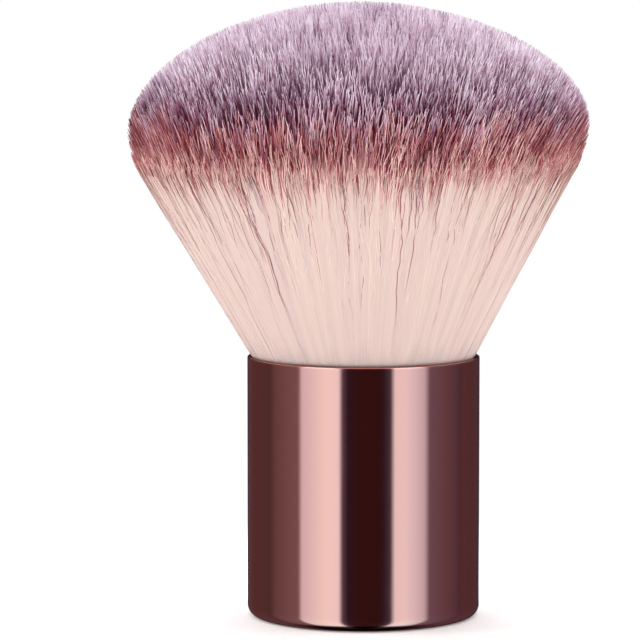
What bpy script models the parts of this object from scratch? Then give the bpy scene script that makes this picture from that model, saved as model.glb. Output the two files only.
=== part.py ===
"""Powder brush: a dense, domed head of dyed fibre that flares out of a drawn metal handle.

Metres, +Z up. The origin is the centre of the base, on the surface that the brush stands on.
Seen from the side the head is a cone that opens from the handle's mouth to its widest edge,
with half an ellipse on top. Every strand runs on a straight line from one point on the axis.
"""

import math
import random

import bmesh
import bpy
from mathutils import Matrix

# Driving sizes of the whole brush
SHELL_RADIUS = 0.0175
SHELL_HEIGHT = 0.0393
HEAD_RADIUS = 0.03465
HEAD_SIDE_HEIGHT = 0.0320
DOME_HEIGHT = 0.0213

# Clearance between a piece and the neighbour that it seats on or slides into
FIT_GAP = 0.0003

# Handle shell, a drawn cup that stands on a ring
SHELL_WALL = 0.0005
SHELL_CORNER_RADIUS = 0.0016
FOOT_RING_WIDTH = 0.0030
FOOT_RECESS_DEPTH = 0.0004
FOOT_RECESS_SLOPE = 0.0008
RIM_ROUNDING_SHARE = 0.4

# Glue bed under the insert
GLUE_THICKNESS = 0.0008
GLUE_EDGE_ROUNDING_SHARE = 0.4

# Steel slug in the insert's lower pocket
WEIGHT_HEIGHT = 0.0070
WEIGHT_CHAMFER = 0.0006

# Moulded insert: a tube, a web across it, and ribs that reach the shell
INSERT_TUBE_WALL = 0.0014
INSERT_WEB_THICKNESS = 0.0016
RIB_COUNT = 8
RIB_DEPTH = 0.0025
RIB_THICKNESS = 0.0016

# Inner cup that holds the root of the tuft, with a lip that hangs on the insert
CUP_WALL = 0.0004
CUP_LIP_WIDTH = 0.0012
CUP_CORNER_RADIUS = 0.0010

# Cured resin in the bottom of the cup
RESIN_THICKNESS = 0.0028

# Thread wound round the waist of the root bundle
THREAD_DIAMETER = 0.0006
THREAD_TURNS = 4
WAIST_RISE = 0.0040
WAIST_SLOPE = 0.0006

# Strands of the head
STRAND_RINGS = 12
STRAND_ROOT_GAP = 0.0003
STRAND_HEAD_GAP = 0.0005
STRAND_TIP_LENGTH = 0.0032
STRAND_TIP_SCATTER = 0.0010
TIP_SPREAD_SHARE = 0.7
STRAND_SINK = 0.0006
SCATTER_SEED = 11

# Heights above the shell's rim between which the fibre is dyed maroon
BAND_LOW_RISE = 0.0235
BAND_HIGH_RISE = 0.0325
BAND_FADE = 0.0030

# Fineness of the turned pieces, and the distance at which their doubled points merge
SHELL_SIDES = 72
INNER_SIDES = 40
CORNER_STEPS = 6
RIM_STEPS = 3
THREAD_STEPS = 2
MERGE_DISTANCE = 0.000001
SHARP_ANGLE = math.radians(35)

# Radii worked out from the shell inwards
shell_bore = SHELL_RADIUS - SHELL_WALL
rib_radius = shell_bore - FIT_GAP
tube_radius = rib_radius - RIB_DEPTH
insert_bore = tube_radius - INSERT_TUBE_WALL
weight_radius = insert_bore - FIT_GAP
cup_radius = insert_bore - FIT_GAP
cup_bore = cup_radius - CUP_WALL
root_radius = cup_bore - FIT_GAP
mouth_radius = shell_bore - FIT_GAP

# The fan of strands: radius gained for each unit of height, and the heights that follow from it
fan_slope = (HEAD_RADIUS - mouth_radius) / HEAD_SIDE_HEIGHT
fan_point_height = SHELL_HEIGHT - mouth_radius / fan_slope
root_height = SHELL_HEIGHT - (mouth_radius - root_radius) / fan_slope
edge_height = SHELL_HEIGHT + HEAD_SIDE_HEIGHT

# Heights worked out from the base upwards
floor_height = FOOT_RECESS_DEPTH + SHELL_WALL
glue_height = floor_height + FIT_GAP
insert_height = glue_height + GLUE_THICKNESS + FIT_GAP
web_height = insert_height + WEIGHT_HEIGHT + FIT_GAP
cup_height = web_height + INSERT_WEB_THICKNESS + FIT_GAP
resin_height = cup_height + CUP_WALL + FIT_GAP
bundle_height = resin_height + RESIN_THICKNESS + FIT_GAP
insert_top = root_height - CUP_WALL - FIT_GAP

# The winding and the waist that it sits in
winding_height = THREAD_TURNS * THREAD_DIAMETER
waist_radius = root_radius - THREAD_DIAMETER - FIT_GAP
waist_height = winding_height + 2 * FIT_GAP


def clear_scene():
    """Remove whatever the scene holds."""
    for item in list(bpy.data.objects):
        bpy.data.objects.remove(item)


def make_finish(name, colour, roughness, metallic):
    """A Principled material of one colour."""
    finish = bpy.data.materials.new(name)
    finish.use_nodes = True
    shader = finish.node_tree.nodes["Principled BSDF"]
    shader.inputs["Base Color"].default_value = (*colour, 1)
    shader.inputs["Roughness"].default_value = roughness
    shader.inputs["Metallic"].default_value = metallic
    return finish


def make_fibre_finish(name, foot, band, tip, roughness):
    """A Principled material in three dyed tones, told apart by height above the root bundle's foot."""
    finish = make_finish(name, foot, roughness, 0)
    nodes = finish.node_tree.nodes
    links = finish.node_tree.links
    place = nodes.new("ShaderNodeTexCoord")
    parts = nodes.new("ShaderNodeSeparateXYZ")
    height = nodes.new("ShaderNodeMapRange")
    tones = nodes.new("ShaderNodeValToRGB")
    height.inputs["From Min"].default_value = SHELL_HEIGHT - bundle_height
    height.inputs["From Max"].default_value = edge_height + DOME_HEIGHT - bundle_height
    head_height = HEAD_SIDE_HEIGHT + DOME_HEIGHT
    stops = [
        (BAND_LOW_RISE - BAND_FADE, foot),
        (BAND_LOW_RISE, band),
        (BAND_HIGH_RISE, band),
        (BAND_HIGH_RISE + BAND_FADE, tip),
    ]
    ramp = tones.color_ramp
    while len(ramp.elements) < len(stops):
        ramp.elements.new(1)
    for element, (rise, colour) in zip(ramp.elements, stops):
        element.position = rise / head_height
        element.color = (*colour, 1)
    shader = nodes["Principled BSDF"]
    links.new(place.outputs["Object"], parts.inputs["Vector"])
    links.new(parts.outputs["Z"], height.inputs["Value"])
    links.new(height.outputs["Result"], tones.inputs["Fac"])
    links.new(tones.outputs["Color"], shader.inputs["Base Color"])
    return finish


def place_piece(name, bm, finish, frame, height):
    """Turn a bmesh into a named object on the brush's axis, with its own origin at this height."""
    mesh = bpy.data.meshes.new(name)
    bm.to_mesh(mesh)
    bm.free()
    mesh.materials.append(finish)
    mesh.shade_smooth()
    mesh.set_sharp_from_angle(angle=SHARP_ANGLE)
    piece = bpy.data.objects.new(name, mesh)
    bpy.context.scene.collection.objects.link(piece)
    piece.parent = frame
    piece.location = (0, 0, height)
    return piece


def arc(centre_radius, centre_height, radius, start, end, steps):
    """Points of an arc in an outline. Angles are in degrees: 0 points outwards and 90 up."""
    points = []
    for step in range(steps + 1):
        angle = math.radians(start + (end - start) * step / steps)
        points.append(
            (
                centre_radius + radius * math.cos(angle),
                centre_height + radius * math.sin(angle),
            )
        )
    return points


def turned(outline, sides, ring=False):
    """Spin an outline of (radius, height) points about the axis. A ring's outline closes on itself."""
    bm = bmesh.new()
    points = [bm.verts.new((radius, 0, height)) for radius, height in outline]
    lines = [bm.edges.new(pair) for pair in zip(points, points[1:])]
    if ring:
        lines.append(bm.edges.new((points[-1], points[0])))
    bmesh.ops.spin(
        bm,
        geom=points + lines,
        axis=(0, 0, 1),
        cent=(0, 0, 0),
        angle=math.tau,
        steps=sides,
        use_merge=True,
    )
    bmesh.ops.remove_doubles(bm, verts=bm.verts, dist=MERGE_DISTANCE)
    bmesh.ops.recalc_face_normals(bm, faces=bm.faces)
    return bm


def make_handle_shell(frame):
    """Drawn cup: raised centre, standing ring, rolled corner, straight wall and rounded rim."""
    foot_outer = SHELL_RADIUS - SHELL_CORNER_RADIUS
    foot_inner = foot_outer - FOOT_RING_WIDTH
    recess_radius = foot_inner - FOOT_RECESS_SLOPE
    rounding = RIM_ROUNDING_SHARE * SHELL_WALL
    rim_height = SHELL_HEIGHT - rounding
    inner_corner = SHELL_CORNER_RADIUS - SHELL_WALL
    outline = [(0, FOOT_RECESS_DEPTH), (recess_radius, FOOT_RECESS_DEPTH), (foot_inner, 0)]
    outline += arc(foot_outer, SHELL_CORNER_RADIUS, SHELL_CORNER_RADIUS, -90, 0, CORNER_STEPS)
    outline += arc(SHELL_RADIUS - rounding, rim_height, rounding, 0, 90, RIM_STEPS)
    outline += arc(shell_bore + rounding, rim_height, rounding, 90, 180, RIM_STEPS)
    outline += arc(foot_outer, SHELL_CORNER_RADIUS, inner_corner, 0, -90, RIM_STEPS)
    outline += [(foot_inner, SHELL_WALL), (recess_radius, floor_height), (0, floor_height)]
    finish = make_finish("rose_brown_plated_aluminium", (0.485, 0.216, 0.188), 0.12, 1)
    return place_piece("handle_shell", turned(outline, SHELL_SIDES), finish, frame, 0)


def make_glue_bed(frame):
    """Disc of cured adhesive between the shell's floor and the insert."""
    rounding = GLUE_EDGE_ROUNDING_SHARE * GLUE_THICKNESS
    edge = tube_radius - rounding
    outline = [(0, 0)]
    outline += arc(edge, rounding, rounding, -90, 0, RIM_STEPS)
    outline += arc(edge, GLUE_THICKNESS - rounding, rounding, 0, 90, RIM_STEPS)
    outline += [(0, GLUE_THICKNESS)]
    finish = make_finish("cured_adhesive", (0.72, 0.69, 0.58), 0.45, 0)
    return place_piece("glue_bed", turned(outline, INNER_SIDES), finish, frame, glue_height)


def make_weight_slug(frame):
    """Chamfered steel slug."""
    outline = [
        (0, 0),
        (weight_radius - WEIGHT_CHAMFER, 0),
        (weight_radius, WEIGHT_CHAMFER),
        (weight_radius, WEIGHT_HEIGHT - WEIGHT_CHAMFER),
        (weight_radius - WEIGHT_CHAMFER, WEIGHT_HEIGHT),
        (0, WEIGHT_HEIGHT),
    ]
    finish = make_finish("zinc_plated_steel", (0.46, 0.47, 0.49), 0.35, 1)
    return place_piece("weight_slug", turned(outline, INNER_SIDES), finish, frame, insert_height)


def make_core_insert(frame):
    """Tube with a web across it: the slug's pocket below, the cup's socket above, ribs outside."""
    length = insert_top - insert_height
    web_low = web_height - insert_height
    web_high = web_low + INSERT_WEB_THICKNESS
    outline = [
        (0, web_low),
        (insert_bore, web_low),
        (insert_bore, 0),
        (tube_radius, 0),
        (tube_radius, length),
        (insert_bore, length),
        (insert_bore, web_high),
        (0, web_high),
    ]
    finish = make_finish("natural_moulded_plastic", (0.76, 0.74, 0.68), 0.5, 0)
    insert = place_piece("core_insert", turned(outline, INNER_SIDES), finish, frame, insert_height)

    ribs = bmesh.new()
    rib_root = tube_radius - INSERT_TUBE_WALL / 2
    rib_size = Matrix.Diagonal((rib_radius - rib_root, RIB_THICKNESS, length, 1))
    rib_place = Matrix.Translation(((rib_radius + rib_root) / 2, 0, length / 2))
    for rib in range(RIB_COUNT):
        turn = Matrix.Rotation(math.tau * rib / RIB_COUNT, 4, "Z")
        bmesh.ops.create_cube(ribs, size=1, matrix=turn @ rib_place @ rib_size)
    rib_guide = place_piece("core_insert_ribs", ribs, finish, frame, insert_height)
    join_hidden(insert, rib_guide)
    return insert


def join_hidden(piece, operand):
    """Unite a piece with a second object, which then counts as a helper."""
    operand.hide_render = True
    operand.display_type = "WIRE"
    union = piece.modifiers.new("Join", "BOOLEAN")
    union.operation = "UNION"
    union.solver = "EXACT"
    union.object = operand


def make_bristle_cup(frame):
    """Thin cup with a flat floor, a rounded lower corner and a lip turned outwards."""
    length = root_height - cup_height
    inner_corner = CUP_CORNER_RADIUS - CUP_WALL
    corner = cup_radius - CUP_CORNER_RADIUS
    outline = [(0, 0)]
    outline += arc(corner, CUP_CORNER_RADIUS, CUP_CORNER_RADIUS, -90, 0, RIM_STEPS)
    outline += [
        (cup_radius, length - CUP_WALL),
        (cup_radius + CUP_LIP_WIDTH, length - CUP_WALL),
        (cup_radius + CUP_LIP_WIDTH, length),
        (cup_bore, length),
    ]
    outline += arc(corner, CUP_CORNER_RADIUS, inner_corner, 0, -90, RIM_STEPS)
    outline += [(0, CUP_WALL)]
    finish = make_finish("bare_aluminium", (0.78, 0.79, 0.81), 0.3, 1)
    return place_piece("bristle_cup", turned(outline, INNER_SIDES), finish, frame, cup_height)


def make_resin_plug(frame):
    """Disc of cured resin that fills the bottom of the cup, rounded like its lower corner."""
    radius = root_radius
    rounding = CUP_CORNER_RADIUS - CUP_WALL
    outline = [(0, 0)]
    outline += arc(radius - rounding, rounding, rounding, -90, 0, RIM_STEPS)
    outline += [(radius, RESIN_THICKNESS), (0, RESIN_THICKNESS)]
    finish = make_finish("cured_amber_resin", (0.55, 0.36, 0.14), 0.25, 0)
    return place_piece("resin_plug", turned(outline, INNER_SIDES), finish, frame, resin_height)


def make_binding_thread(frame):
    """Ring of wound thread, with one ridge for each turn."""
    inner_radius = root_radius - THREAD_DIAMETER
    ridge = THREAD_DIAMETER / 2
    outline = [(inner_radius, 0)]
    for turn in range(THREAD_TURNS):
        middle = (turn + 0.5) * THREAD_DIAMETER
        outline += arc(inner_radius + ridge, middle, ridge, -60, 60, THREAD_STEPS)
    outline += [(inner_radius, winding_height)]
    finish = make_finish("white_nylon_thread", (0.80, 0.79, 0.76), 0.6, 0)
    height = bundle_height + WAIST_RISE + FIT_GAP
    return place_piece("binding_thread", turned(outline, INNER_SIDES, ring=True), finish, frame, height)


def dome_length(slope):
    """Height above the fan's point at which a strand of this slope meets the dome."""
    reach = edge_height - fan_point_height
    square = (slope / HEAD_RADIUS) ** 2 + 1 / DOME_HEIGHT**2
    linear = 2 * reach * (slope / HEAD_RADIUS) ** 2
    constant = (slope * reach / HEAD_RADIUS) ** 2 - 1
    rise = (math.sqrt(linear**2 - 4 * square * constant) - linear) / (2 * square)
    return reach + rise


def fan_place(share, angle, length, back=0):
    """Point on the line with this share of the fan's slope, at this height above the fan's point.

    The point is moved back along its line by a distance. Heights are from the bundle's foot.
    """
    slope = share * fan_slope
    height = length - back / math.hypot(1, slope)
    radius = slope * height
    return (
        radius * math.cos(angle),
        radius * math.sin(angle),
        fan_point_height + height - bundle_height,
    )


def cell_corners(ring, turn, count, gap_share):
    """Share and angle of a strand's four corners. The ring in the middle is one square strand."""
    outer = (ring + 0.5) / (STRAND_RINGS - 0.5) - gap_share / 2
    if ring == 0:
        return [(outer, math.tau * corner / 4) for corner in range(4)]
    inner = (ring - 0.5) / (STRAND_RINGS - 0.5) + gap_share / 2
    middle = math.tau * turn / count
    half = math.pi / count
    inner_half = half - gap_share / 2 / inner
    outer_half = half - gap_share / 2 / outer
    return [
        (inner, middle - inner_half),
        (outer, middle - outer_half),
        (outer, middle + outer_half),
        (inner, middle + inner_half),
    ]


def add_strand(bm, roots, shoulders, tip):
    """A four-sided strand that widens from its root to its shoulder and ends in a point."""
    low = [bm.verts.new(place) for place in roots]
    high = [bm.verts.new(place) for place in shoulders]
    point = bm.verts.new(tip)
    bm.faces.new(reversed(low))
    for side in range(4):
        after = (side + 1) % 4
        bm.faces.new((low[side], low[after], high[after], high[side]))
        bm.faces.new((high[side], high[after], point))


def make_strands():
    """All strands, in rings. Each ring has as many as keep their width, and starts at its own turn."""
    scatter = random.Random(SCATTER_SEED)
    root_length = root_height - STRAND_SINK - fan_point_height
    bm = bmesh.new()
    for ring in range(STRAND_RINGS):
        count = max(1, round(math.tau * ring))
        first_turn = scatter.random()
        for strand in range(count):
            turn = strand + first_turn
            roots = [
                fan_place(share, angle, root_length)
                for share, angle in cell_corners(ring, turn, count, STRAND_ROOT_GAP / root_radius)
            ]
            shoulders = [
                fan_place(share, angle, dome_length(share * fan_slope), STRAND_TIP_LENGTH)
                for share, angle in cell_corners(ring, turn, count, STRAND_HEAD_GAP / HEAD_RADIUS)
            ]
            spread = TIP_SPREAD_SHARE * (scatter.random() - 0.5) * (ring > 0)
            tip_share = min(1, (ring + spread) / (STRAND_RINGS - 1))
            tip_back = STRAND_TIP_SCATTER * scatter.random() * (ring > 0)
            tip_length = dome_length(tip_share * fan_slope)
            tip = fan_place(tip_share, math.tau * turn / count, tip_length, tip_back)
            add_strand(bm, roots, shoulders, tip)
    return bm


def make_bristle_tuft(frame):
    """Root bundle with a waist for the thread, and the strands that stand on it."""
    length = root_height - bundle_height
    waist_low = WAIST_RISE
    waist_high = waist_low + waist_height
    outline = [
        (0, 0),
        (root_radius, 0),
        (root_radius, waist_low - WAIST_SLOPE),
        (waist_radius, waist_low),
        (waist_radius, waist_high),
        (root_radius, waist_high + WAIST_SLOPE),
        (root_radius, length),
        (0, length),
    ]
    finish = make_fibre_finish(
        "three_tone_synthetic_fibre",
        foot=(0.80, 0.66, 0.58),
        band=(0.32, 0.10, 0.13),
        tip=(0.40, 0.32, 0.42),
        roughness=0.6,
    )
    tuft = place_piece("bristle_tuft", turned(outline, INNER_SIDES), finish, frame, bundle_height)
    strands = place_piece("bristle_tuft_strands", make_strands(), finish, frame, bundle_height)
    join_hidden(tuft, strands)
    return tuft


def main():
    clear_scene()
    frame = bpy.data.objects.new("brush_frame", None)
    bpy.context.scene.collection.objects.link(frame)
    make_handle_shell(frame)
    make_glue_bed(frame)
    make_weight_slug(frame)
    make_core_insert(frame)
    make_bristle_cup(frame)
    make_resin_plug(frame)
    make_binding_thread(frame)
    make_bristle_tuft(frame)


main()
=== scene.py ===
# %% [markdown]
# # A powder brush
# The object is a short powder brush that stands on its own base: a bright metal shell and a wide,
# domed head of dyed fibre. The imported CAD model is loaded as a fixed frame, in metres, with the
# brush upright along Z and its base at the origin.

# %% Load the frame
import math
from functools import partial

import bmesh
import bpy
import numpy as np
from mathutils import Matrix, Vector


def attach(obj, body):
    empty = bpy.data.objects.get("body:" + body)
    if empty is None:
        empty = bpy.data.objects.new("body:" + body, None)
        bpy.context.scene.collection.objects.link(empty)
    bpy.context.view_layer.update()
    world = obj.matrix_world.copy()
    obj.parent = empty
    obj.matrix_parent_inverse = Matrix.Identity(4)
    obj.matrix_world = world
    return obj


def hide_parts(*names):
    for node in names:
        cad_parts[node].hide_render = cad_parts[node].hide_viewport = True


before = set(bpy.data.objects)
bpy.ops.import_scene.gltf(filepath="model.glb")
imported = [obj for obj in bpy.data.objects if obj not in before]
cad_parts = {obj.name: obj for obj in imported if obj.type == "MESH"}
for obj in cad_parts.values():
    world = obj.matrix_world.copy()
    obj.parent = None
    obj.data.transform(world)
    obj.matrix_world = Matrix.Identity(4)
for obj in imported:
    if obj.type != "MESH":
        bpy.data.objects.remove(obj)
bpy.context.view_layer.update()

print("nodes:", sorted(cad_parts))

# %% [markdown]
# Sizes are written in millimetres and multiplied by MM. Colours are written in sRGB, as a paint
# program shows them, and one function turns them into the linear light of shaders. Another turns
# the real size of a pattern into a texture's scale.

# %% Units and colours
MM = 0.001


def linear(hex_code):
    """The linear colour, with full opacity, that a shader needs for an sRGB hex code."""
    parts = [int(hex_code[i : i + 2], 16) / 255 for i in (1, 3, 5)]
    return [p / 12.92 if p <= 0.04045 else ((p + 0.055) / 1.055) ** 2.4 for p in parts] + [1.0]


def per(size):
    """The scale of a texture whose pattern has this size in mm."""
    return 1 / (size * MM)


WHITE = linear("#FFFFFF")
print("rose brown is", [round(c, 3) for c in linear("#B8736C")])

# %% [markdown]
# A material is a small graph of nodes. One helper adds any node. The kind of a node that calculates
# is followed by a dot and its operation, keyword arguments set other settings, "stops" fills a
# colour ramp, and the dictionary fills the inputs. There a socket is linked, a node is linked by
# its first output in use, and anything else is typed in. Inputs that share a name go by number: on
# a Mix node 0 is the share, 2 and 3 are two numbers, and 6 and 7 are two colours. A new material
# comes with its own "add", which adds nodes to that material.

# %% Helpers
SMOOTH = {"interpolation_type": "SMOOTHSTEP"}


def add_node(tree, kind, inputs=None, stops=None, **settings):
    """Adds one shader node with its settings, ramp stops and inputs."""
    kind, dot, operation = kind.partition(".")
    node = tree.nodes.new("ShaderNode" + kind)
    if dot:
        node.operation = operation
    for name, value in settings.items():
        setattr(node, name, value)
    if stops:
        elements = node.color_ramp.elements
        while len(elements) < len(stops):
            elements.new(0.5)
        for element, (place, colour) in zip(elements, stops):
            element.position, element.color = place, colour
    for name, value in (inputs or {}).items():
        if isinstance(value, bpy.types.Node):
            value = next(socket for socket in value.outputs if socket.enabled)
        if isinstance(value, bpy.types.NodeSocket):
            tree.links.new(value, node.inputs[name])
        else:
            node.inputs[name].default_value = value
    return node


def span(value, low, high, first=0.0, last=1.0):
    """Inputs of a Map Range node that takes a value of low to first and of high to last."""
    return {"Value": value, "From Min": low, "From Max": high, "To Min": first, "To Max": last}


def new_material(name):
    """An empty material and the function that adds nodes to it."""
    material = bpy.data.materials.new(name)
    material.use_nodes = True
    material.node_tree.nodes.clear()
    return material, partial(add_node, material.node_tree)


def new_piece(name, shape, material):
    """A mesh object made of a bmesh, at the origin, with this material."""
    mesh = bpy.data.meshes.new(name)
    shape.to_mesh(mesh)
    shape.free()
    mesh.materials.append(material)
    piece = bpy.data.objects.new(name, mesh)
    bpy.context.scene.collection.objects.link(piece)
    return piece


def off_axis(add, place):
    """Distance of a place from the brush's axis."""
    flat = add("VectorMath.MULTIPLY", {0: place, 1: (1, 1, 0)})
    return add("VectorMath.LENGTH", {0: flat})


print("helpers: add_node, span, new_material, new_piece, off_axis")

# %% [markdown]
# ## The camera
# The picture was taken from about 0.6 m away, a little above the brush and looking slightly down,
# which the shallow arcs of the shell's rim and base tell. A long lens keeps its sides parallel.

# %% Camera
CAMERA_X, CAMERA_DISTANCE, CAMERA_HEIGHT = -6.55 * MM, 600 * MM, 101.2 * MM
AIM_HEIGHT = 44.7 * MM
LENS, SENSOR = 225.1, 36.0
CLIP_START, CLIP_END = 0.01, 50.0

camera = bpy.data.objects.new("camera", bpy.data.cameras.new("camera"))
bpy.context.scene.collection.objects.link(camera)
camera.data.lens, camera.data.sensor_width = LENS, SENSOR
camera.data.clip_start, camera.data.clip_end = CLIP_START, CLIP_END
camera.location = (CAMERA_X, -CAMERA_DISTANCE, CAMERA_HEIGHT)
sight = Vector((CAMERA_X, 0.0, AIM_HEIGHT)) - camera.location
camera.rotation_euler = sight.to_track_quat("-Z", "Y").to_euler()
bpy.context.scene.camera = camera
bpy.context.scene.view_settings.view_transform = "Standard"
print("camera looks down by", round(math.degrees(math.atan2(-sight.z, sight.y)), 2), "degrees")

# %% [markdown]
# ## What the metal sees
# Polished metal has no look of its own, it shows the studio. Round the real brush stood two tall
# softboxes, with a black flag between them and grey cards at the sides, and the shell shows them as
# upright bright and dark strips. Only reflections need them, so they are drawn on the world for
# glossy rays alone, from the floor up to a white ceiling. A strip runs from one direction to
# another, in degrees from the camera's side towards the right, and has its light at both. Straight
# down it is dark, where a real brush mirrors its own shadow.

# %% Studio strips
LAMP_STRENGTH = 3.4
STRIPS = [
    (-180, -160, (0.0112, 0.0083, 0.0115), (0.04, 0.036, 0.052)),
    (-156, -112, (0.051, 0.056, 0.073), (0.049, 0.041, 0.043)),
    (-107, -102, (0.042, 0.04, 0.048), (0.06, 0.057, 0.061)),
    (-98, -68, (0.078, 0.074, 0.075), (0.112, 0.118, 0.135)),
    (-63.5, -52, (0.4, 0.66, 0.72), (0.46, 0.78, 0.85)),
    (-38, -25, (0.54, 0.94, 0.95), (0.53, 0.91, 1)),
    (-21.5, -16, (0.06, 0.07, 0.11), (0.016, 0.012, 0.02)),
    (-5, 14, (0.019, 0.0095, 0.009), (0.018, 0.009, 0.009)),
    (19, 26.5, (0.016, 0.012, 0.018), (0.035, 0.045, 0.07)),
    (31, 42, (0.5, 0.86, 0.92), (0.49, 0.86, 0.94)),
    (52, 62, (0.42, 0.74, 0.84), (0.34, 0.56, 0.66)),
    (68, 90, (0.086, 0.1, 0.14), (0.072, 0.067, 0.085)),
    (104, 110, (0.052, 0.053, 0.077), (0.044, 0.039, 0.056)),
    (118, 148, (0.051, 0.043, 0.05), (0.044, 0.049, 0.069)),
    (160, 180, (0.029, 0.029, 0.043), (0.0112, 0.0083, 0.0115)),
]
# How high a ray looks, from -1 straight down to 1 straight up, where the strips and the ceiling
# begin, and how much of the strips' light is left straight down.
STRIPS_LOW, STRIPS_HIGH, LIGHT_BELOW = -0.93, -0.72, 0.02
CEILING_LOW, CEILING_HIGH = 0.25, 0.6

world = bpy.data.worlds.new("studio")
bpy.context.scene.world = world
world.use_nodes = True
world.node_tree.nodes.clear()
add = partial(add_node, world.node_tree)
x, y, z = add("SeparateXYZ", {0: add("TexCoord").outputs["Generated"]}).outputs
front = add("Math.MULTIPLY", {0: y, 1: -1.0})
turn = add("Math.ARCTAN2", {0: x, 1: front})
turn = add("MapRange", span(turn, -math.pi, math.pi))
stops = []
for start, end, first, last in STRIPS:
    stops += [((start + 180) / 360, (*first, 1.0)), ((end + 180) / 360, (*last, 1.0))]
strips = add("ValToRGB", {0: turn}, stops=stops)
low = add("MapRange", span(z, STRIPS_LOW, STRIPS_HIGH, LIGHT_BELOW), **SMOOTH)
strength = add("Math.MULTIPLY", {0: low, 1: LAMP_STRENGTH})
strips = add("Background", {"Color": strips, "Strength": strength})
ceiling = add("Background", {"Color": WHITE, "Strength": 1.0})
high = add("MapRange", span(z, CEILING_LOW, CEILING_HIGH), **SMOOTH)
mirrored = add("MixShader", {0: high, 1: strips, 2: ceiling})
print("strips drawn:", len(STRIPS))

# %% [markdown]
# ## The light and the white background
# For all else the world gives an even, soft light. To the camera, and to anything clear, it is a
# plain white of strength 1, because more would burn out the object.

# %% World
WORLD_LIGHT = 0.335


def seen_directly(add):
    """1 for what the camera sees, through something clear too, and 0 for all other light."""
    path = add("LightPath")
    rays = {0: path.outputs["Is Camera Ray"], 1: path.outputs["Is Transmission Ray"]}
    return add("Math.MAXIMUM", rays)


lighting = add("Background", {"Color": WHITE, "Strength": WORLD_LIGHT})
backdrop = add("Background", {"Color": WHITE, "Strength": 1.0})
mixed = add("MixShader", {0: seen_directly(add), 1: lighting, 2: backdrop})
glossy = add("LightPath").outputs["Is Glossy Ray"]
mixed = add("MixShader", {0: glossy, 1: mixed, 2: mirrored})
add("OutputWorld", {"Surface": mixed})
print("nodes in the world:", len(world.node_tree.nodes))

# %% [markdown]
# ## The floor
# The brush stands on white paper. Near the brush it is lit and takes the shadow, and further out it
# turns into a white of strength 1 for the camera alone. The paper also throws light up at the
# head's cone. Pure white would light the cone too much, so its own colour is a pale grey, and a
# little extra glow makes up for that to the camera.

# %% Floor
PAPER_COLOUR, PAPER_GLOW = "#EBEBEB", 0.09
# Distance from the brush's axis at which the shadow's paper starts to fade and is all white.
PAPER_NEAR, PAPER_FAR = 34 * MM, 110 * MM
FLOOR_RADIUS, FLOOR_SIDES = 4.0, 96

paper, add = new_material("white_paper")  # an even, matte ground
place = add("TexCoord").outputs["Object"]
far = add("MapRange", span(off_axis(add, place), PAPER_NEAR, PAPER_FAR), **SMOOTH)
lit = add("BsdfDiffuse", {"Color": linear(PAPER_COLOUR)})
glow = add("Emission", {"Color": WHITE, "Strength": PAPER_GLOW})
near = add("AddShader", {0: lit, 1: glow})
white = add("Emission", {"Color": WHITE, "Strength": 1.0})
shown = add("MixShader", {0: far, 1: near, 2: white})
mixed = add("MixShader", {0: seen_directly(add), 1: lit, 2: shown})
add("OutputMaterial", {"Surface": mixed})
paper.cycles.emission_sampling = "NONE"

shape = bmesh.new()
bmesh.ops.create_circle(shape, cap_ends=True, segments=FLOOR_SIDES, radius=FLOOR_RADIUS)
floor = new_piece("floor", shape, paper)
floor.visible_glossy = False
print("floor faces:", len(floor.data.polygons))

# %% [markdown]
# ## The lamps
# Five large, soft area lamps. A main one at the right and a fill at the left stand in front and
# look down on the brush. Three hang above and a little behind it: they light the dome and its
# shoulders and, by way of the paper, the cone from below. The two at the sides stay out of the
# metal's reflections. With the world's light, all add up to about the plain level at which a colour
# renders as it is written.

# %% Lamps
HEAD_MIDDLE = Vector((0.0, 0.0, 60 * MM))
# Name, place, length of a side, power in watts, and whether the metal reflects it.
LAMPS = [
    ("main_lamp", (0.54, -0.54, 0.36), 0.45, 1.08, True),
    ("fill_lamp", (-0.56, -0.54, 0.34), 0.45, 1.16, True),
    ("top_lamp", (0.0, 0.20, 0.80), 0.50, 8.0, True),
    ("left_lamp", (-0.70, 0.05, 0.85), 0.60, 7.2, False),
    ("right_lamp", (0.70, 0.05, 0.85), 0.60, 5.6, False),
]

for name, place, side, power, reflected in LAMPS:
    lamp = bpy.data.objects.new(name, bpy.data.lights.new(name, "AREA"))
    bpy.context.scene.collection.objects.link(lamp)
    lamp.data.shape, lamp.data.size, lamp.data.energy = "SQUARE", side, power
    lamp.location = place
    lamp.rotation_euler = (HEAD_MIDDLE - Vector(place)).to_track_quat("-Z", "Y").to_euler()
    lamp.visible_glossy = reflected
print("lamps:", len(LAMPS), "with", round(sum(row[3] for row in LAMPS), 2), "W in all")

# %% [markdown]
# ## The metal shell
# The shell is a cup pressed from thin aluminium sheet: a rolled lower corner, a base pushed up a
# little inside a standing ring, a straight wall and a thin rim. Half of its section is drawn with a
# few points and spun once round, and a bevel rounds each sharp ring of edges to its own radius.
# Support rings next to the bevels keep the long wall flat, which a mirror finish needs.

# %% Shell
SHELL_RADIUS, SHELL_HEIGHT, SHELL_WALL = 17.5 * MM, 39.3 * MM, 0.5 * MM
FOOT_RECESS, FOOT_INNER, FOOT_SLOPE = 0.4 * MM, 12.9 * MM, 0.8 * MM
CORNER_RADIUS, RIM_ROUNDING, FOOT_ROUNDING = 1.6 * MM, 0.19 * MM, 0.25 * MM
SUPPORT_GAP = 0.15 * MM
SHELL_SEGMENTS = 288
# Points nearer than MERGE are one point, and a point nearer than TOUCH lies on a ring.
MERGE, TOUCH = 1e-7, 1e-6


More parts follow.
